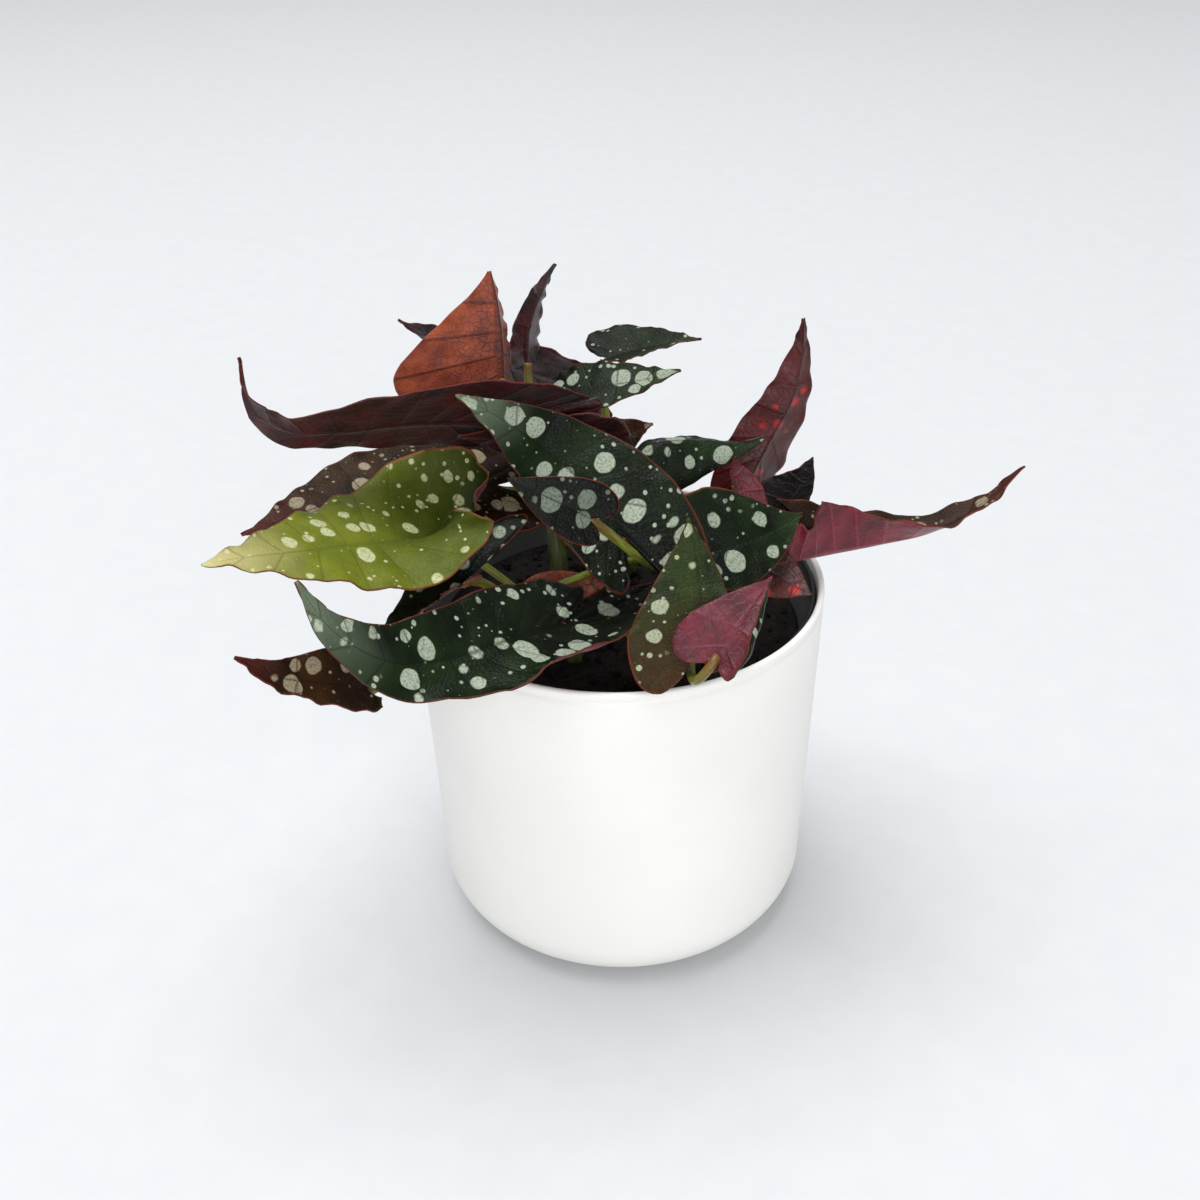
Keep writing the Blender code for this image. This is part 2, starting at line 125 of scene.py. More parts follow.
# leaves, in mm and degrees, with the CAD part's shapes. rib: joint to tip. face: where the upper side looks.
# width: left half, right half. fold and curl: how each half rises from the rib and turns towards its margin.
# lobe: length of the basal lobes. wrap: how far a lobe crosses behind the joint. stalk: cane, place on it,
# lean from square to the blade, and lift from the cane.
leafShapes = {
    "leaf_sickle": dict(rib=[(-27, 16, 177), (-40, 12, 180), (-52, 4, 185), (-69, -3, 188), (-87, -9, 189),
        (-102, -14, 192), (-111, -17, 202), (-114, -15, 217)], face=[(0, 0.85, 0.5), (0, 0.85, 0.5), (0, 0.85,
        0.5), (0, 0.85, 0.5), (0.9, -0.35, 0.3)], width=(25, 14), lobe=(0.7, 0.9), stalk=("cane_left", 1, 85,
        65)),
    "leaf_orange": dict(rib=[(-38, 34, 186), (-38, 38, 198), (-39, 42, 210), (-41, 46, 221)], face=[(0, 0.9,
        -0.35)], width=(9, 38), fold=[(78, 0)], curl=[(0, 15)], lobe=(1, 1.2), stalk=("cane_back", 1, 0, 65)),
    "leaf_upright": dict(rib=[(-30, 44, 189), (-29, 46, 200), (-25, 48, 211), (-19, 52, 221)], face=[(-0.3, 0.9,
        0)], width=(12, 6), fold=[(50, 50)], stalk=("cane_left", 1, 85, 65)),
    "leaf_back": dict(rib=[(-15, 60, 174), (-30, 64, 177), (-48, 68, 182), (-64, 72, 188), (-77, 74, 194)],
        face=[(0, 0.85, 0.4)], width=(14, 20), lobe=(0.6, 1), stalk=("cane_back", 1, 60, 65)),
    "leaf_top_right": dict(rib=[(-2, 58, 184), (8, 60, 186), (19, 58, 189), (31, 54, 192)], face=[(-0.2, -0.3,
        0.9), (0, -0.2, 1)], width=(15, 8), fold=[(5, 20)], lobe=(0.6, 0.6), stalk=("cane_back", 1, 60, 65)),
    "leaf_small_right": dict(rib=[(-17, 30, 183), (-5, 26, 187), (9, 24, 190), (22, 22, 194)], face=[(0, -0.35,
        0.93)], width=(12, 12.5), fold=[(5, 0)], lobe=(0.6, 2.2), stalk=("cane_back", 0.95, 30, 65)),
    "leaf_olive": dict(rib=[(-54, -20, 156), (-68, -34, 163), (-82, -45, 168), (-95, -55, 172), (-109, -63,
        175), (-121, -67, 175)], face=[(-0.1, -0.3, 0.95)], width=(23, 36), fold=[(65, 0), (50, 0), (-5, -4),
        (-5, -2), (0, 0)], curl=[(0, 130), (10, 110), (0, 0), (0, 0), (0, 0)], lobe=(-0.7, 1.4),
        stalk=("cane_front", 1, 60, 65)),
    "leaf_brown": dict(rib=[(-41, 14, 157), (-63, 8, 161), (-85, -2, 163), (-102, -14, 163), (-119, -26, 162)],
        face=[(-0.1, -0.3, 0.95)], width=(25, 25), stalk=("cane_left", 0.75, 60, 65)),
    "leaf_shadow": dict(rib=[(-7, 12, 168), (-22, 11, 172), (-37, 8, 177), (-52, 4, 180)], face=[(0, 0.9, 0.3)],
        width=(19, 12), fold=[(0, 10)], lobe=(0.8, 1), stalk=("cane_left", 0.75, 0, 65)),
    "leaf_centre": dict(rib=[(1, -30, 161), (-7, -22, 171), (-21, -14, 182), (-36, -17, 196), (-49, -19, 205)],
        face=[(0.1, -0.75, 0.65)], width=(18, 21), fold=[(5, 5)], lobe=(1.1, 1.9), stalk=("cane_right", 0.9, 30,
        65)),
    "leaf_dark_lobe": dict(rib=[(-9, -50, 178), (-17, -50, 183), (-25, -49, 187), (-33, -48, 191)], face=[(0,
        -0.8, 0.6)], width=(9, 11), fold=[(5, 5)], stalk=("cane_right", 0.6, 60, 10)),
    "leaf_lobed": dict(rib=[(-49, -40, 151), (-59, -46, 147), (-68, -51, 143), (-76, -55, 140)], face=[(0, -0.7,
        0.7)], width=(6, 14), fold=[(20, 0), (70, -10), (70, -15), (70, 0)], lobe=(1, 3.8), stalk=("cane_front",
        0.3, 60, 40)),
    "leaf_front_left": dict(rib=[(-18, -48, 140), (-34, -64, 145), (-50, -78, 148), (-66, -88, 154), (-80, -92,
        167), (-90, -86, 180)], face=[(0, -0.35, 0.93), (0, -0.5, 0.85), (0.35, -0.7, 0.6), (0.4, -0.8, 0.5)],
        width=(21, 19), fold=[(0, 5)], curl=[(20, 0), (60, 0), (60, 0), (10, 0), (0, 0)], lobe=(1.9, 0.8),
        wrap=(0.5, 0), stalk=("cane_front", 1, 60, 65)),
    "leaf_low_left": dict(rib=[(-78, -64, 128), (-88, -72, 136), (-100, -80, 144), (-111, -84, 154)], face=[(0,
        -0.6, 0.8)], width=(8, 13), fold=[(0, 0), (5, 10)], curl=[(0, 0), (20, 20), (20, 20)], lobe=(0.5, 0.5),
        stalk=("cane_front", 1, 22, 65)),
    "leaf_hanging": dict(rib=[(23, -66, 143), (24, -58, 152), (23, -48, 162), (21, -40, 172)], face=[(0, -0.7,
        0.7)], width=(22, 9), lobe=(1.7, 1), stalk=("cane_front", 1, 30, 65)),
    "leaf_folded": dict(rib=[(28, -74, 144), (33, -70, 150), (39, -64, 156), (45, -58, 161)], face=[(0.2, 0.8,
        -0.5)], width=(13, 15), curl=[(-40, 0), (-170, 0), (-170, 0)], stalk=("cane_right", 0.3, 85, 10)),
    "leaf_long_right": dict(rib=[(53, -12, 139), (71, -6, 139), (88, -2, 140), (106, 2, 142), (123, 6, 150),
        (137, 10, 162)], face=[(-0.2, 0, 1)], width=(17, 16), fold=[(40, 75), (40, 75), (35, 70), (10, 20), (0,
        0)], lobe=(-0.5, -0.8), stalk=("cane_right", 0.75, 30, 65)),
    "leaf_inside": dict(rib=[(47, -16, 140), (54, -22, 138), (62, -28, 136)], face=[(0, 0.7, -0.7)], width=(9,
        9), stalk=("cane_right", 0.9, 85, 65)),
    "leaf_red_upright": dict(rib=[(46, 22, 153), (53, 26, 166), (60, 28, 180), (63, 30, 195), (63, 30, 208)],
        face=[(-0.3, 0.9, 0.1)], width=(14, 13), fold=[(15, 15)], stalk=("cane_right", 0.6, 85, 40)),
    "leaf_saddle": dict(rib=[(9, 5, 172), (16, 8, 175), (28, 10, 174), (40, 10, 173), (50, 10, 175)], face=[(0,
        -0.3, 0.95)], width=(7, 20), fold=[(0, 0), (-30, -30), (-30, -30), (-30, -30)], curl=[(0, 0), (0, -30),
        (0, -30)], stalk=("cane_right", 1, 30, 75)),
    "leaf_curled": dict(rib=[(43, -2, 153), (42, 2, 159), (39, 4, 166), (39, 4, 171)], face=[(0, 0.85, -0.5)],
        width=(7, 9), curl=[(0, 0), (0, -120), (0, -120)], stalk=("cane_left", 0.45, 30, 65)),
    "leaf_black": dict(rib=[(53, 10, 141), (58, 12, 149), (63, 12, 157), (66, 12, 166)], face=[(0, 0.9, -0.2)],
        width=(8, 15), curl=[(20, 0)], stalk=("cane_right", 0.75, 85, 65)),
    "leaf_pink_edge": dict(rib=[(31, -26, 152), (40, -22, 153), (51, -16, 154), (60, -10, 156)], face=[(0, -0.8,
        0.6)], width=(21, 14), fold=[(0, 5)], curl=[(30, 0)], lobe=(2.3, 1), stalk=("cane_right", 0.9, 30, 65)),
    "leaf_crumpled": dict(rib=[(-5, 28, 163), (0, 30, 165), (7, 31, 168), (13, 30, 171)], face=[(0, -0.5,
        0.85)], width=(9, 9), fold=[(10, 10)], stalk=("cane_back", 0.9, 60, 65)),
    "leaf_deep": dict(rib=[(-26, -20, 133), (-19, -19, 135), (-10, -18, 136), (0, -17, 138)], face=[(0, 0.8,
        -0.5)], width=(6, 7), stalk=("cane_right", 0.55, 30, 65)),
}

# canes from the soil upwards, mm
caneRoutes = {
    "cane_left": [(-20, 8, 0), (-20, 8, 6), (-22, 16, 30), (-26, 26, 48)],
    "cane_back": [(4, 30, 0), (4, 30, 6), (1, 40, 32), (-4, 48, 50)],
    "cane_front": [(-16, -27, 0), (-16, -27, 4), (-20, -29, 14)],
    "cane_right": [(25, 2, 0), (25, 2, 5), (29, 0, 22), (31, 3, 34)],
}

# half a blade's outline, as (share of the length along the rib, share of the half width across it)
narrowHalf = [(-0.13, 0.20), (-0.21, 0.52), (-0.12, 0.84), (0.08, 1.0), (0.30, 0.95), (0.52, 0.75),
              (0.72, 0.47), (0.88, 0.19), (1.0, 0.015)]
wideHalf = [(-0.13, 0.16), (-0.24, 0.48), (-0.19, 0.82), (0.0, 1.0), (0.24, 0.90), (0.48, 0.66),
            (0.70, 0.39), (0.87, 0.16), (1.0, 0.012)]

leafBuild = {
    "thickness": 0.45,       # mm, thin crisp blade
    "rowStep": 0.9,          # mm between mesh rows
    "columnStep": 1.1,       # mm between mesh columns
    "veinPitch": 9.0,        # mm between side veins along the rib
    "puff": 0.42,            # mm that the blade swells between veins
    "ripple": 0.8,           # mm of wave at the margin
    "crinkle": 0.35,         # mm of small unevenness
    "tooth": 0.012,          # share of the half width that the fine teeth stand out
}


class Blade:
    def __init__(self, shape):
        self.face, self.width = shape["face"], shape["width"]
        self.fold, self.curl = shape.get("fold", [(0, 0)]), shape.get("curl", [(0, 0)])
        self.lobe, self.wrap = shape.get("lobe", (1, 1)), shape.get("wrap", (0, 0))
        self.path, self.length = smoothPath(shape["rib"])

    def frameAt(self, share):
        last = len(self.path) - 1
        place = max(0.0, min(1.0, share)) * last
        k = min(int(place), last - 1)
        point = self.path[k].lerp(self.path[k + 1], place - k)
        tangent = (self.path[min(k + 2, last)] - self.path[max(k - 1, 0)]).normalized()
        face = between(self.face, share)
        normal = (face - tangent * face.dot(tangent)).normalized()
        return point, tangent, normal, normal.cross(tangent)

    def rowOf(self, row, side):
        outline = wideHalf if self.width[side] > self.width[1 - side] else narrowHalf
        along, across = between(outline, row)
        if along < 0:
            along *= self.lobe[side]
        across -= self.wrap[side] * max(0.0, 1 - row / 0.3)
        start = row**1.5
        point, tangent, normal, left = self.frameAt(start)
        sign = 1 if side == 0 else -1
        reach = tangent * (along - start) * self.length + left * across * sign * self.width[side]
        fold = math.radians(between(self.fold, row)[side])
        curl = math.radians(between(self.curl, row)[side])
        return point, reach, normal, fold, curl, start, along, across * self.width[side]


def bladeGrid(blade):
    # rows run from the sinus to the tip and columns from the right margin to the left one
    build = leafBuild
    rows = max(26, int(blade.length / build["rowStep"]))
    columns = max(8, int(max(blade.width) / build["columnStep"]))
    veins = max(4, round(blade.length * 1.1 / build["veinPitch"]))
    places, marks, shares = [], [], []
    for r in range(rows + 1):
        row = r / rows
        halves = []
        for side in (1, 0):
            point, reach, normal, fold, curl, start, along, across = blade.rowOf(row, side)
            teeth = 1 + build["tooth"] * (2 * abs((row * 34) % 1 - 0.5) - 0.5)
            half, here = [(point, start * blade.length, 0.0, 0.0)], point
            for k in range(columns):
                middle = (k + 0.5) / columns
                angle = fold + curl * middle**2
                stretch = teeth if k == columns - 1 else 1.0
                here = here + (reach * math.cos(angle) + normal * reach.length * math.sin(angle)) * stretch / columns
                column = (k + 1) / columns
                sign = 1 if side == 0 else -1
                half.append((here, (start + (along - start) * column) * blade.length, sign * across * column,
                             sign * column))
            halves.append(half)
        line = halves[0][:0:-1] + halves[1]
        places += [item[0] for item in line]
        marks += [(item[1], item[2]) for item in line]
        shares += [(row, item[3]) for item in line]
    across = 2 * columns + 1
    faces = []
    for r in range(rows):
        for k in range(across - 1):
            a = r * across + k
            faces.append((a + 1, a, a + across, a + across + 1))
    return places, faces, marks, shares, veins


def addLeaf(node, shape, finish, seed):
    build = leafBuild
    blade = Blade(shape)
    places, faces, marks, shares, veins = bladeGrid(blade)
    leaf = meshObject(node.replace("leaf_", "blade_"), [p * mm for p in places], faces, finish["materials"])
    normals = [v.normal.copy() for v in leaf.data.vertices]
    size = min(1.0, blade.length / 60)
    amount = finish.get("ripple", 1.0)
    for v, normal, (row, column), (along, across) in zip(leaf.data.vertices, normals, shares, marks):
        edge = abs(column)
        swell = math.sin(math.pi * ((row * veins) % 1)) ** 0.6 - 0.6
        swell *= min(1, edge * 4) * (1 - edge**6)
        groove = -0.5 * math.exp(-(across / 1.3)**2)
        wave = math.sin(row * (5 + seed % 4) * math.tau + 1.7 * seed) * edge**4
        wave += 0.5 * math.sin(row * (11 + seed % 3) * math.tau + column * 3) * edge**8
        rough = noise.noise(Vector((along / 6, across / 6, seed * 3.1)))
        rough += 0.5 * noise.noise(Vector((along / 2.5, across / 2.5, seed * 5.3)))
        lift = build["puff"] * (swell + groove) * size
        lift += build["ripple"] * amount * wave * size
        lift += build["crinkle"] * amount * rough * (0.4 + edge) * min(1, edge * 3)
        lift *= min(1.0, (1 - row) * 6 + 0.3)
        v.co += normal * lift * mm
    for name, values in (("leafPlace", [(a, b, seed * 37.0) for a, b in marks]),
                         ("leafShare", [(r, c, float(veins)) for r, c in shares])):
        attribute = leaf.data.attributes.new(name, "FLOAT_VECTOR", "POINT")
        attribute.data.foreach_set("vector", [x for value in values for x in value])
    sheet = leaf.modifiers.new("Thickness", "SOLIDIFY")
    sheet.thickness = build["thickness"] * mm
    sheet.offset = -1
    sheet.use_even_offset = False
    sheet.material_offset = 1
    leaf.data.update()
    standFor(leaf, node)
    return blade


# begonia leaf, upper side: a firm waxy skin. Silver spots are air pockets under it, so they stay matt and pale
# while the green between them takes a soft sheen

def spottedSkin(name, ground, shade, spot, margin, tip, heart=None, spots=1.0, roughness=0.36, veinColour=None):
    material, tree, shader = newMaterial(name, Roughness=roughness, IOR=1.45, Specular_IOR_Level=0.15)
    place = addNode(tree, "Attribute", attribute_name="leafPlace").node.outputs["Vector"]
    share = addNode(tree, "Attribute", attribute_name="leafShare").node.outputs["Vector"]
    split = addNode(tree, "SeparateXYZ", {0: share}).node
    row, column, veins = split.outputs[0], split.outputs[1], split.outputs[2]
    edge = addNode(tree, "Math", {0: column}, operation="ABSOLUTE")
    # side veins lie on whole counts of row times the number of veins
    count = addNode(tree, "Math", {0: row, 1: veins}, operation="MULTIPLY")
    fromVein = addNode(tree, "Math", {0: count, 1: 0.5}, operation="PINGPONG")
    sideVein = addNode(tree, "MapRange", {0: fromVein, 1: 0.0, 2: 0.055, 3: 1.0, 4: 0.0})
    midVein = addNode(tree, "MapRange", {0: edge, 1: 0.01, 2: 0.06, 3: 1.0, 4: 0.0})
    vein = addNode(tree, "Math", {0: sideVein, 1: midVein}, operation="MAXIMUM")
    # leaf cells swell about 1 mm across between the finest veins
    cells = addNode(tree, "TexVoronoi", {"Vector": place, "Scale": 0.8}, feature="DISTANCE_TO_EDGE")
    patch = addNode(tree, "TexNoise", {"Vector": place, "Scale": 0.09, "Detail": 4.0})
    tone = addNode(tree, "MapRange", {0: patch, 1: 0.32, 2: 0.72})
    colour = addNode(tree, "Mix", {0: tone, 6: toLinear(shade), 7: toLinear(ground)}, data_type="RGBA").node.outputs[2]
    heartShare = addNode(tree, "MapRange", {0: row, 1: 0.1, 2: 0.62, 3: 1.0, 4: 0.0})
    colour = addNode(tree, "Mix", {0: heartShare, 6: colour, 7: toLinear(heart or shade)},
                     data_type="RGBA").node.outputs[2]
    tipShare = addNode(tree, "MapRange", {0: row, 1: 0.72, 2: 1.0})
    colour = addNode(tree, "Mix", {0: tipShare, 6: colour, 7: toLinear(tip)}, data_type="RGBA").node.outputs[2]
    veinShare = addNode(tree, "Math", {0: vein, 1: 0.45}, operation="MULTIPLY")
    colour = addNode(tree, "Mix", {0: veinShare, 6: colour, 7: toLinear(veinColour or shade)},
                     data_type="RGBA").node.outputs[2]
    # large spots: about 9 mm apart and up to 7 mm across, longer across the leaf, smaller near the margin
    wobble = addNode(tree, "TexNoise", {"Vector": place, "Scale": 0.35, "Detail": 3.0})
    wobble = addNode(tree, "MapRange", {0: wobble, 3: -0.06, 4: 0.06})
    stretched = addNode(tree, "Mapping", {0: place, 3: (1.0 / 8.0, 1.0 / 9.5, 1.0)})
    spotCell = addNode(tree, "TexVoronoi", {"Vector": stretched, "Scale": 1.0, "Randomness": 0.62}).node
    cellTint = addNode(tree, "SeparateColor", {0: spotCell.outputs["Color"]}).node
    reach = addNode(tree, "MapRange", {0: cellTint.outputs[0], 3: 0.24 * spots, 4: 0.44 * spots})
    nearEdge = addNode(tree, "MapRange", {0: edge, 1: 0.6, 2: 1.0, 3: 1.0, 4: 0.35})
    reach = addNode(tree, "Math", {0: reach, 1: nearEdge}, operation="MULTIPLY")
    gap = addNode(tree, "Math", {0: spotCell.outputs["Distance"], 1: reach}, operation="SUBTRACT")
    gap = addNode(tree, "Math", {0: gap, 1: wobble}, operation="ADD")
    bigSpot = addNode(tree, "MapRange", {0: gap, 1: -0.02, 2: 0.02, 3: 1.0, 4: 0.0})
    # small dots: 1 to 2 mm, about 4 mm apart, more of them towards the margin
    dotCell = addNode(tree, "TexVoronoi", {"Vector": place, "Scale": 0.34, "Randomness": 1.0}).node
    dotTint = addNode(tree, "SeparateColor", {0: dotCell.outputs["Color"]}).node
    dotReach = addNode(tree, "MapRange", {0: dotTint.outputs[1], 1: 0.2, 2: 1.0, 3: 0.05, 4: 0.34 * spots})
    dotMore = addNode(tree, "MapRange", {0: edge, 1: 0.0, 2: 0.9, 3: 0.5, 4: 1.0})
    dotReach = addNode(tree, "Math", {0: dotReach, 1: dotMore}, operation="MULTIPLY")
    dotGap = addNode(tree, "Math", {0: dotCell.outputs["Distance"], 1: dotReach}, operation="SUBTRACT")
    dot = addNode(tree, "MapRange", {0: dotGap, 1: -0.05, 2: 0.03, 3: 1.0, 4: 0.0})
    spotMask = addNode(tree, "Math", {0: bigSpot, 1: dot}, operation="MAXIMUM")
    # the silver is broken by a fine dark speckle of about 0.5 mm
    speckle = addNode(tree, "TexNoise", {"Vector": place, "Scale": 1.4, "Detail": 3.0})
    speckle = addNode(tree, "MapRange", {0: speckle, 1: 0.32, 2: 0.55, 3: 0.45, 4: 0.95})
    spotMask = addNode(tree, "Math", {0: spotMask, 1: speckle}, operation="MULTIPLY")
    offVein = addNode(tree, "MapRange", {0: vein, 3: 1.0, 4: 0.35})
    spotMask = addNode(tree, "Math", {0: spotMask, 1: offVein}, operation="MULTIPLY", use_clamp=True)
    colour = addNode(tree, "Mix", {0: spotMask, 6: colour, 7: toLinear(spot)}, data_type="RGBA").node.outputs[2]
    rim = addNode(tree, "MapRange", {0: edge, 1: 0.965, 2: 0.99})
    colour = addNode(tree, "Mix", {0: rim, 6: colour, 7: toLinear(margin)}, data_type="RGBA").node.outputs[2]
    tree.links.new(colour, shader.inputs["Base Color"])
    dull = addNode(tree, "MapRange", {0: spotMask, 3: roughness, 4: roughness + 0.22})
    tree.links.new(dull, shader.inputs["Roughness"])
    puffed = addNode(tree, "MapRange", {0: cells, 1: 0.0, 2: 0.25})
    sunk = addNode(tree, "Math", {0: vein, 1: -1.2}, operation="MULTIPLY")
    height = addNode(tree, "Math", {0: puffed, 1: sunk}, operation="ADD")
    bump = addNode(tree, "Bump", {"Height": height, "Strength": 0.35, "Distance": 0.25 * mm})
    tree.links.new(bump, shader.inputs["Normal"])
    return material


# begonia leaf, underside: thin red skin with raised veins. Light passes through it, so it glows against the light

def redUnderside(name, colour, shade, veinColour, spot=None, glow=0.0, roughness=0.42):
    material, tree, shader = newMaterial(name, Roughness=roughness, IOR=1.42, Subsurface_Weight=glow,
                                         Subsurface_Radius=(1.0, 0.25, 0.1), Subsurface_Scale=2.5 * mm,
                                         Sheen_Weight=0.15, Sheen_Roughness=0.4)
    place = addNode(tree, "Attribute", attribute_name="leafPlace").node.outputs["Vector"]
    share = addNode(tree, "Attribute", attribute_name="leafShare").node.outputs["Vector"]
    split = addNode(tree, "SeparateXYZ", {0: share}).node
    row, column, veins = split.outputs[0], split.outputs[1], split.outputs[2]
    edge = addNode(tree, "Math", {0: column}, operation="ABSOLUTE")
    count = addNode(tree, "Math", {0: row, 1: veins}, operation="MULTIPLY")
    fromVein = addNode(tree, "Math", {0: count, 1: 0.5}, operation="PINGPONG")
    sideVein = addNode(tree, "MapRange", {0: fromVein, 1: 0.015, 2: 0.075, 3: 1.0, 4: 0.0})
    midVein = addNode(tree, "MapRange", {0: edge, 1: 0.03, 2: 0.08, 3: 1.0, 4: 0.0})
    vein = addNode(tree, "Math", {0: sideVein, 1: midVein}, operation="MAXIMUM")
    # the finest veins make a net about 2 mm across
    net = addNode(tree, "TexVoronoi", {"Vector": place, "Scale": 0.42}, feature="DISTANCE_TO_EDGE")
    netLine = addNode(tree, "MapRange", {0: net, 1: 0.0, 2: 0.08, 3: 0.5, 4: 0.0})
    patch = addNode(tree, "TexNoise", {"Vector": place, "Scale": 0.11, "Detail": 5.0})
    tone = addNode(tree, "MapRange", {0: patch, 1: 0.36, 2: 0.64})
    base = addNode(tree, "Mix", {0: tone, 6: toLinear(shade), 7: toLinear(colour)}, data_type="RGBA").node.outputs[2]
    if spot:
        # light shows through the silver spots of the other side
        stretched = addNode(tree, "Mapping", {0: place, 3: (1.0 / 8.0, 1.0 / 9.0, 1.0)})
        spotCell = addNode(tree, "TexVoronoi", {"Vector": stretched, "Scale": 1.0, "Randomness": 0.85}).node
        cellTint = addNode(tree, "SeparateColor", {0: spotCell.outputs["Color"]}).node
        reach = addNode(tree, "MapRange", {0: cellTint.outputs[0], 3: 0.08, 4: 0.34})
        gap = addNode(tree, "Math", {0: spotCell.outputs["Distance"], 1: reach}, operation="SUBTRACT")
        mask = addNode(tree, "MapRange", {0: gap, 1: -0.08, 2: 0.05, 3: 0.85, 4: 0.0})
        base = addNode(tree, "Mix", {0: mask, 6: base, 7: toLinear(spot)}, data_type="RGBA").node.outputs[2]
    lines = addNode(tree, "Math", {0: vein, 1: netLine}, operation="MAXIMUM")
    lines = addNode(tree, "Math", {0: lines, 1: 0.75}, operation="MULTIPLY")
    base = addNode(tree, "Mix", {0: lines, 6: base, 7: toLinear(veinColour)}, data_type="RGBA").node.outputs[2]
    tree.links.new(base, shader.inputs["Base Color"])
    height = addNode(tree, "Math", {0: vein, 1: netLine}, operation="ADD")
    bump = addNode(tree, "Bump", {"Height": height, "Strength": 0.5, "Distance": 0.3 * mm})
    tree.links.new(bump, shader.inputs["Normal"])
    return material


upper = {
    "dark": spottedSkin("leafUpperDark", "#16280a", "#060b04", "#9aa491", "#5a2c1c", "#26361a"),
    # painted light: the olive upper side is a lit, yellower copy of the dark green one, darkest at the joint and
    # palest at the tip
    "olive": spottedSkin("leafUpperPaintedLight", "#767c22", "#56601a", "#b9be92", "#6e4424", "#bdb27c", "#1f2e0c",
                         roughness=0.4, veinColour="#4b5518"),
    "brown": spottedSkin("leafUpperBrown", "#3a240e", "#1a0f07", "#958a72", "#5e2a20", "#4a1a16"),
    "hanging": spottedSkin("leafUpperHanging", "#2c3a12", "#16200a", "#a3a98e", "#66331f", "#2a3414", "#3a2410"),
    "silverTip": spottedSkin("leafUpperSilverTip", "#18290c", "#060b04", "#a3ad9a", "#552a1e", "#66735e",
                             spots=1.05),
    # painted shade: the black upper side is a darker copy of the dark one, spots included, for leaves that sit in
    # shadow
    "black": spottedSkin("leafUpperPaintedShade", "#0d1109", "#050704", "#6c7668", "#6a2a20", "#161b10", spots=0.95),
}
under = {
    "maroon": redUnderside("leafUnderMaroon", "#3e0c10", "#180506", "#260709", glow=0.1),
    "crimson": redUnderside("leafUnderCrimson", "#6e1526", "#480c18", "#7c2234", glow=0.12),
    "folded": redUnderside("leafUnderFolded", "#6a1a2a", "#44101b", "#641c2c", glow=0.1),
    "pink": redUnderside("leafUnderPink", "#84303c", "#5c1c28", "#8f444c", glow=0.15),
    # painted backlight: the orange underside is the red underside painted orange, as it looks with light shining
    # through it from behind
    "orange": redUnderside("leafUnderPaintedBacklight", "#93431c", "#642410", "#2e0d04", glow=0.35),
    "ruby": redUnderside("leafUnderRuby", "#4c080a", "#220505", "#2c0606", "#b8180f", glow=0.35),
    # painted shade: the black underside is a near-black copy of the red underside, for leaves that sit in shadow
    "black": redUnderside("leafUnderPaintedShade", "#110707", "#070404", "#170909"),
}

# the black sides are painted shade for leaves that sit in shadow; the olive upper side and the orange underside are
# painted light
leafFinish = {
    "leaf_sickle": dict(materials=("brown", "maroon"), ripple=0.7),
    "leaf_orange": dict(materials=("brown", "orange"), ripple=0.8),
    "leaf_upright": dict(materials=("dark", "maroon")),
    "leaf_back": dict(materials=("black", "maroon")),
    "leaf_top_right": dict(materials=("dark", "maroon")),
    "leaf_small_right": dict(materials=("dark", "maroon")),
    "leaf_olive": dict(materials=("olive", "pink"), ripple=1.2),
    "leaf_brown": dict(materials=("brown", "maroon")),
    "leaf_shadow": dict(materials=("black", "maroon"), ripple=1.2),
    "leaf_centre": dict(materials=("silverTip", "maroon")),
    "leaf_dark_lobe": dict(materials=("black", "crimson")),
    "leaf_lobed": dict(materials=("dark", "crimson"), ripple=1.2),
    "leaf_front_left": dict(materials=("silverTip", "crimson")),
    "leaf_low_left": dict(materials=("brown", "crimson")),
    "leaf_hanging": dict(materials=("hanging", "pink"), ripple=1.2),
    "leaf_folded": dict(materials=("dark", "folded")),
    "leaf_long_right": dict(materials=("brown", "crimson")),
    "leaf_inside": dict(materials=("brown", "ruby")),
    "leaf_red_upright": dict(materials=("brown", "ruby"), ripple=0.8),
    "leaf_saddle": dict(materials=("dark", "maroon"), ripple=0.6),
    "leaf_curled": dict(materials=("dark", "crimson")),
    "leaf_black": dict(materials=("black", "black")),
    "leaf_pink_edge": dict(materials=("dark", "pink"), ripple=1.3),
    "leaf_crumpled": dict(materials=("brown", "orange"), ripple=1.3),
    "leaf_deep": dict(materials=("brown", "orange")),
}

blades = {}
for seed, (node, shape) in enumerate(leafShapes.items(), 1):
    top, back = leafFinish[node]["materials"]
    finish = dict(leafFinish[node], materials=(upper[top], under[back]))
    blades[node] = addLeaf(node, shape, finish, seed)
print("leaves:", len(blades))


# soft green stems: fleshy, slightly shiny, red where they meet the blade

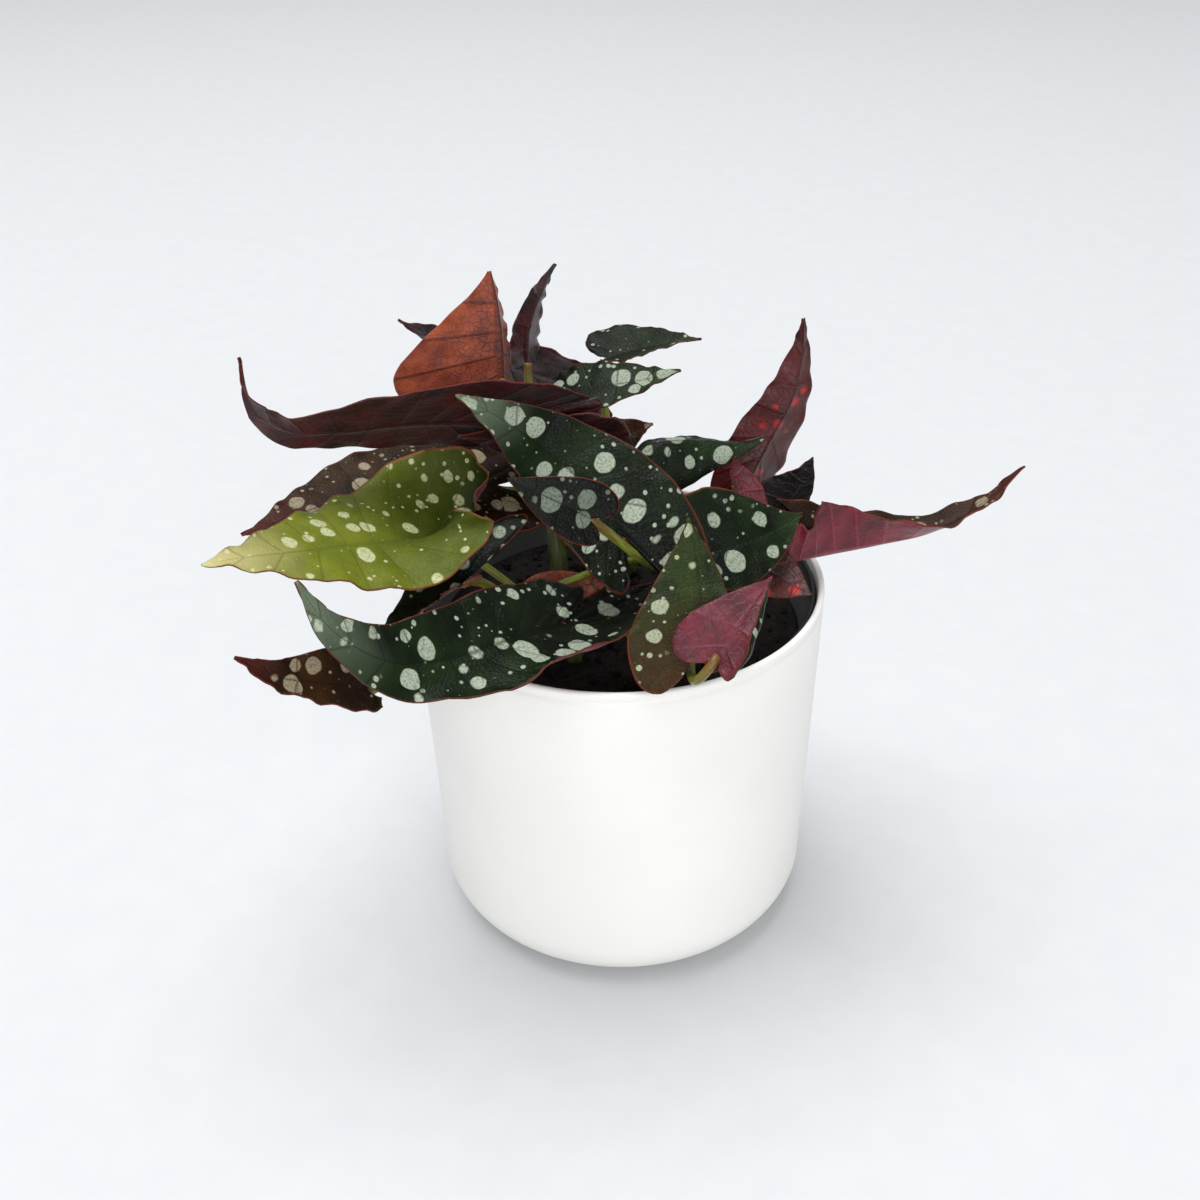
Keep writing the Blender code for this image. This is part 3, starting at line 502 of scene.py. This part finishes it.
def greenStem(name, colour, shade, blush):
    material, tree, shader = newMaterial(name, Roughness=0.38, IOR=1.42, Subsurface_Weight=0.15,
                                         Subsurface_Radius=(0.4, 0.6, 0.15), Subsurface_Scale=1.5 * mm)
    place = addNode(tree, "Attribute", attribute_name="stemPlace").node.outputs["Vector"]
    split = addNode(tree, "SeparateXYZ", {0: place}).node
    # faint ribs about 0.8 mm apart run along the stem
    streak = addNode(tree, "Mapping", {0: place, 3: (0.12, 1.3, 1.3)})
    streak = addNode(tree, "TexNoise", {"Vector": streak, "Scale": 1.0, "Detail": 4.0})
    tone = addNode(tree, "MapRange", {0: streak, 1: 0.35, 2: 0.65})
    base = addNode(tree, "Mix", {0: tone, 6: toLinear(shade), 7: toLinear(colour)}, data_type="RGBA").node.outputs[2]
    end = addNode(tree, "MapRange", {0: split.outputs[2], 1: 0.75, 2: 1.0, 3: 0.0, 4: 0.7})
    base = addNode(tree, "Mix", {0: end, 6: base, 7: toLinear(blush)}, data_type="RGBA").node.outputs[2]
    fleck = addNode(tree, "TexNoise", {"Vector": place, "Scale": 0.9, "Detail": 2.0})
    fleck = addNode(tree, "MapRange", {0: fleck, 1: 0.62, 2: 0.68, 3: 0.0, 4: 0.6})
    base = addNode(tree, "Mix", {0: fleck, 6: base, 7: toLinear(blush)}, data_type="RGBA").node.outputs[2]
    tree.links.new(base, shader.inputs["Base Color"])
    bump = addNode(tree, "Bump", {"Height": streak, "Strength": 0.25, "Distance": 0.2 * mm})
    tree.links.new(bump, shader.inputs["Normal"])
    return material


petioleSkin = greenStem("petioleGreen", "#858c34", "#555e20", "#6e2f20")
caneSkin = greenStem("caneGreen", "#5c6630", "#363d1a", "#452a18")

stemBuild = {"sides": 18, "petioleRadius": 1.6, "caneRadius": 3.4, "caneTaper": 0.25, "gap": 0.35, "slack": 0.2,
             "soilTop": 112.5, "bend": 0.35, "steps": 30}


def addStem(name, points, radiusAt, material):
    sides = stemBuild["sides"]
    verts, faces, marks = [], [], []
    side, run = None, 0.0
    for k, point in enumerate(points):
        ahead = points[min(k + 1, len(points) - 1)] - points[max(k - 1, 0)]
        ahead.normalize()
        side = side or ahead.orthogonal().normalized()
        side = (side - ahead * side.dot(ahead)).normalized()
        up = ahead.cross(side)
        share = k / (len(points) - 1)
        run += (point - points[max(k - 1, 0)]).length
        for s in range(sides):
            turn = math.tau * s / sides
            around = side * math.cos(turn) + up * math.sin(turn)
            verts.append((point + around * radiusAt(share, turn)) * mm)
            marks += [run, turn, share]
    for k in range(len(points) - 1):
        for s in range(sides):
            a, b = k * sides + s, k * sides + (s + 1) % sides
            faces.append((a, b, b + sides, a + sides))
    faces.append(tuple(reversed(range(sides))))
    faces.append(tuple(range(len(verts) - sides, len(verts))))
    stem = meshObject(name, verts, faces, [material])
    attribute = stem.data.attributes.new("stemPlace", "FLOAT_VECTOR", "POINT")
    attribute.data.foreach_set("vector", marks)
    return stem


def canePath(node):
    foot = Vector((0, 0, stemBuild["soilTop"] + stemBuild["gap"] + stemBuild["slack"]))
    return smoothPath([Vector(point) + foot for point in caneRoutes[node]], 24)[0]


def caneRadius(share, turn):
    # a swollen ring at each node, about 12 mm apart
    ring = 0.28 * math.exp(-(((share * 4) % 1 - 0.5) / 0.09)**2)
    return stemBuild["caneRadius"] * (1 - stemBuild["caneTaper"] * share) + ring


def petioleRadius(share, turn):
    base = stemBuild["petioleRadius"]
    foot = 0.35 * math.exp(-(share / 0.06)**2)
    return base * (0.96 - 0.12 * math.sin(math.pi * share)) + foot


for node in caneRoutes:
    cane = addStem(node.replace("cane_", "caneOf_"), canePath(node), caneRadius, caneSkin)
    standFor(cane, node)

for node, shape in leafShapes.items():
    build = stemBuild
    caneNode, share, lean, lift = shape["stalk"]
    lean, lift = math.radians(lean), math.radians(lift)
    path = canePath(caneNode)
    foot = path[round(share * (len(path) - 1))]
    joint, tangent, normal = blades[node].frameAt(0)[:3]
    radius = build["petioleRadius"]
    arriving = normal * math.cos(lean) + tangent * math.sin(lean)
    end = joint - normal * (leafBuild["thickness"] + 0.2 + radius * math.sin(lean) * 0.6)
    out = end - foot
    out.z = 0
    out.normalize()
    leaving = out * math.cos(lift) + Vector((0, 0, math.sin(lift)))
    caneHere = build["caneRadius"] * (1 - build["caneTaper"] * share)
    start = foot + out * (caneHere + build["gap"] + radius * math.sin(lift))
    reach = (end - start).length * build["bend"]
    knee, neck = start + leaving * reach, end - arriving * reach
    points = [start - leaving * 2.2 - out * 1.0]
    for k in range(build["steps"] + 1):
        t = k / build["steps"]
        points.append(start * (1 - t)**3 + knee * 3 * t * (1 - t)**2 + neck * 3 * t * t * (1 - t) + end * t**3)
    petiole = addStem(node.replace("leaf_", "stalk_"), points, petioleRadius, petioleSkin)
    standFor(petiole, node.replace("leaf_", "petiole_"))
print("stems:", len(caneRoutes) + len(leafShapes))


# turned pieces: planter, nursery pot and soil

def addTurned(name, profile, steps, material, closed=True):
    # profile of (radius, height) in mm, down the outside and back up inside; a point on the axis is shared
    verts, rings = [], []
    for radius, height in profile:
        if radius < 1e-6:
            rings.append([len(verts)] * steps)
            verts.append((0, 0, height * mm))
        else:
            rings.append(list(range(len(verts), len(verts) + steps)))
            for s in range(steps):
                turn = math.tau * s / steps
                verts.append((radius * math.cos(turn) * mm, radius * math.sin(turn) * mm, height * mm))
    faces = []
    pairs = list(zip(rings, rings[1:] + rings[:1])) if closed else list(zip(rings, rings[1:]))
    for first, second in pairs:
        for s in range(steps):
            n = (s + 1) % steps
            corners = []
            for corner in (first[s], second[s], second[n], first[n]):
                if corner not in corners:
                    corners.append(corner)
            if len(corners) > 2:
                faces.append(tuple(corners))
    return meshObject(name, verts, faces, [material])


def arcPoints(centre, radius, start, end, steps):
    angles = [math.radians(start + (end - start) * k / steps) for k in range(steps + 1)]
    return [(centre[0] + radius * math.cos(a), centre[1] + radius * math.sin(a)) for a in angles]


def satinPlastic(name, colour, shade, roughness, grain, strength):
    # injection-moulded polypropylene: an even satin with a faint eggshell unevenness from the mould
    material, tree, shader = newMaterial(name, Roughness=roughness, IOR=1.49)
    place = addNode(tree, "TexCoord").node.outputs["Object"]
    cloud = addNode(tree, "TexNoise", {"Vector": place, "Scale": 18.0, "Detail": 3.0})
    tone = addNode(tree, "MapRange", {0: cloud, 1: 0.3, 2: 0.7})
    base = addNode(tree, "Mix", {0: tone, 6: toLinear(shade), 7: toLinear(colour)}, data_type="RGBA").node.outputs[2]
    tree.links.new(base, shader.inputs["Base Color"])
    skin = addNode(tree, "TexNoise", {"Vector": place, "Scale": 1 / (grain * mm), "Detail": 2.0})
    worn = addNode(tree, "MapRange", {0: skin, 1: 0.3, 2: 0.7, 3: roughness - 0.04, 4: roughness + 0.05})
    tree.links.new(worn, shader.inputs["Roughness"])
    bump = addNode(tree, "Bump", {"Height": skin, "Strength": strength, "Distance": 0.05 * mm})
    tree.links.new(bump, shader.inputs["Normal"])
    return material


planterShape = {"height": 128.0, "topRadius": 70.0, "baseRadius": 66.4, "corner": 18.0, "wall": 2.2,
                "rimBead": 3.0, "steps": 160}
nurseryShape = {"top": 125.5, "topRadius": 67.0, "lip": 9.0, "lipStep": 2.5, "baseRadius": 47.0, "wall": 1.2,
                "floor": 2.55, "steps": 120}

pot = planterShape
lip = pot["wall"] / 2
lipCentre = (pot["topRadius"] - lip, pot["height"] - lip)
cornerAt = (pot["baseRadius"] - pot["corner"], pot["corner"])
rim, parting = pot["topRadius"], pot["height"] - pot["rimBead"]
groove = [(rim, parting + 0.5), (rim - 0.1, parting + 0.2), (rim - 0.45, parting), (rim - 0.45, parting - 0.3),
          (rim - 0.2, parting - 0.6)]
sideTop, sideSteps = pot["height"] - 6, 8
side = [(rim + (pot["baseRadius"] - rim) * k / sideSteps - 0.1,
         sideTop + (pot["corner"] - sideTop) * k / sideSteps) for k in range(sideSteps)]
profile = arcPoints(lipCentre, lip, 90, 0, 6) + groove + side + arcPoints(cornerAt, pot["corner"], 0, -90, 16)
profile += [(0, 0), (0, pot["wall"])]
profile += arcPoints(cornerAt, pot["corner"] - pot["wall"], -90, 0, 12)
profile += arcPoints(lipCentre, lip, 180, 90, 6)[:-1]
planterPlastic = satinPlastic("planterSatinWhite", "#f1f0ec", "#ebeae6", 0.36, 1.2, 0.12)
planter = addTurned("planterShell", profile, pot["steps"], planterPlastic)
standFor(planter, "planter")

sleeve = nurseryShape
outer, base, wall = sleeve["topRadius"], sleeve["baseRadius"], sleeve["wall"]
top, floor = sleeve["top"], sleeve["floor"]
body, lipFoot = outer - sleeve["lipStep"], top - sleeve["lip"]
soften = 0.3                 # mm taken off the lip's sharp edges
profile = [(outer - wall + soften, top), (outer - soften, top), (outer, top - soften),
           (outer, lipFoot + soften), (outer - soften, lipFoot), (body, lipFoot), (base + 1.5, floor + 2),
           (base, floor), (0, floor), (0, floor + wall), (base - wall, floor + wall),
           (body - wall, lipFoot + wall), (outer - wall, lipFoot + wall), (outer - wall, top - soften)]
nurseryPlastic = satinPlastic("nurseryPotBlack", "#151516", "#101011", 0.42, 0.8, 0.3)
nurseryPot = addTurned("nurseryPotShell", profile, sleeve["steps"], nurseryPlastic)
standFor(nurseryPot, "nursery_pot")

# potting soil: coir and bark, near black, partly its own dark brown and partly painted shade from inside the pot, with
# lighter crumbs
soilMix, tree, shader = newMaterial("pottingSoil", Roughness=0.92, IOR=1.4)
where = addNode(tree, "TexCoord").node.outputs["Object"]
crumbs = addNode(tree, "TexVoronoi", {"Vector": where, "Scale": 500.0}).node
tint = addNode(tree, "SeparateColor", {0: crumbs.outputs["Color"]}).node.outputs[0]
tint = addNode(tree, "MapRange", {0: tint, 1: 0.5, 2: 1.0})
soilColour = addNode(tree, "Mix", {0: tint, 6: toLinear("#0b0705"), 7: toLinear("#1f150e")},
                     data_type="RGBA").node.outputs[2]
tree.links.new(soilColour, shader.inputs["Base Color"])
grit = addNode(tree, "TexNoise", {"Vector": where, "Scale": 900.0, "Detail": 5.0})
soilBump = addNode(tree, "Bump", {"Height": grit, "Strength": 0.8, "Distance": 0.6 * mm})
tree.links.new(soilBump, shader.inputs["Normal"])

soilLow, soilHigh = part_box("soil")
soilShape = {"radius": soilHigh.x / mm - 0.3, "top": 110.0, "mound": 2.5, "foot": 45.0, "floor": soilLow.z / mm,
             "rings": 46, "steps": 150, "crumbs": 420,
             "crumbSizes": (0.9, 1.2, 1.6, 2.4), "crumbSink": 1.2, "seed": 11}
bed = soilShape
profile = [(0, bed["top"] + bed["mound"])]
for k in range(1, bed["rings"] + 1):
    profile.append((bed["radius"] * k / bed["rings"], bed["top"] + bed["mound"] * (1 - (k / bed["rings"])**4)))
profile += [(bed["foot"], bed["floor"]), (0, bed["floor"])]
soil = addTurned("soilBed", profile, bed["steps"], soilMix, closed=False)
for v in soil.data.vertices:
    if v.co.z > (bed["top"] - 2) * mm:
        rough = noise.fractal(v.co / (4 * mm), 0.9, 2.1, 4)
        edge = min(1, (bed["radius"] * mm - v.co.xy.length) / (2 * mm))
        v.co.z += (rough * 1.1 - 1.2) * mm * max(0, edge)

# loose bits of bark and coir on top
chunks = bmesh.new()
chunks.from_mesh(soil.data)
dice = random.Random(bed["seed"])
for k in range(bed["crumbs"]):
    away = bed["radius"] * 0.96 * math.sqrt(dice.random())
    turn = dice.uniform(0, math.tau)
    size = dice.choice(bed["crumbSizes"]) * dice.uniform(0.7, 1.2)
    top = bed["top"] + bed["mound"] * (1 - (away / bed["radius"])**4) - bed["crumbSink"]
    made = bmesh.ops.create_icosphere(chunks, subdivisions=1, radius=size * mm)
    spin = Euler((dice.uniform(0, 3), dice.uniform(0, 3), turn)).to_matrix()
    flat = Vector((dice.uniform(0.8, 1.6), dice.uniform(0.6, 1.0), dice.uniform(0.35, 0.7)))
    for v in made["verts"]:
        v.co = spin @ Vector(a * b for a, b in zip(v.co, flat)) * dice.uniform(0.85, 1.15)
        v.co += Vector((away * math.cos(turn), away * math.sin(turn), top)) * mm
chunks.to_mesh(soil.data)
chunks.free()
standFor(soil, "soil")
print("pots and soil done")


# floor, light and camera

floorPaper, tree, shader = newMaterial("studioPaper", Roughness=0.85)
where = addNode(tree, "TexCoord").node.outputs["Object"]
fibre = addNode(tree, "TexNoise", {"Vector": where, "Scale": 60.0, "Detail": 4.0})
paperTone = addNode(tree, "MapRange", {0: fibre, 1: 0.3, 2: 0.7})
paper = addNode(tree, "Mix", {0: paperTone, 6: toLinear("#cfd1d4"), 7: toLinear("#d2d4d6")},
                data_type="RGBA").node.outputs[2]
tree.links.new(paper, shader.inputs["Base Color"])
floorSpan, floorDrop = 4.0, 0.0004     # metres from the middle to an edge, and below the planter's foot
corners = [(-1, -1), (1, -1), (1, 1), (-1, 1)]
floorSheet = meshObject("floorSheet", [(floorSpan * x, floorSpan * y, -floorDrop) for x, y in corners],
                        [(0, 1, 2, 3)], [floorPaper])

world = bpy.data.worlds.new("softRoom")
world.use_nodes = True
world.node_tree.nodes["Background"].inputs[0].default_value = toLinear("#f7f8fa")
world.node_tree.nodes["Background"].inputs[1].default_value = 0.5
bpy.context.scene.world = world
bpy.context.scene.view_settings.view_transform = "Standard"

lights = {
    "topSoftbox": dict(place=(-0.5, 0.3, 3.0), aim=(0, 0, 0.1), size=2.6, watts=92.0),
    "frontSoftbox": dict(place=(0.4, -2.9, 1.2), aim=(0, 0, 0.06), size=2.4, watts=51.0),
}
for name, setting in lights.items():
    lamp = bpy.data.lights.new(name, "AREA")
    lamp.shape = "SQUARE"
    lamp.size = setting["size"]
    lamp.energy = setting["watts"]
    lampObject = bpy.data.objects.new(name, lamp)
    lampObject.location = setting["place"]
    aim = Vector(setting["aim"]) - Vector(setting["place"])
    lampObject.rotation_euler = aim.to_track_quat("-Z", "Y").to_euler()
    bpy.context.scene.collection.objects.link(lampObject)

# camera looks down at the plant from in front, almost level from side to side
viewing = {"place": (-0.00647, -0.4410, 0.3903), "pitch": 31.62, "roll": -1.28, "lens": 45.0}
cameraData = bpy.data.cameras.new("camera")
cameraData.lens = viewing["lens"]
cameraData.sensor_width = 36.0
cameraData.clip_start = 0.01
camera = bpy.data.objects.new("camera", cameraData)
camera.location = viewing["place"]
pitch, roll = math.radians(viewing["pitch"]), math.radians(viewing["roll"])
forward = Vector((0, math.cos(pitch), -math.sin(pitch)))
flatRight, flatUp = Vector((1, 0, 0)), Vector((0, math.sin(pitch), math.cos(pitch)))
right = flatRight * math.cos(roll) + flatUp * math.sin(roll)
up = -flatRight * math.sin(roll) + flatUp * math.cos(roll)
turn = camera.matrix_world.to_3x3()
turn.col[0], turn.col[1], turn.col[2] = right, up, -forward
camera.rotation_euler = turn.to_euler()
bpy.context.scene.collection.objects.link(camera)
bpy.context.scene.camera = camera
print("stage done")
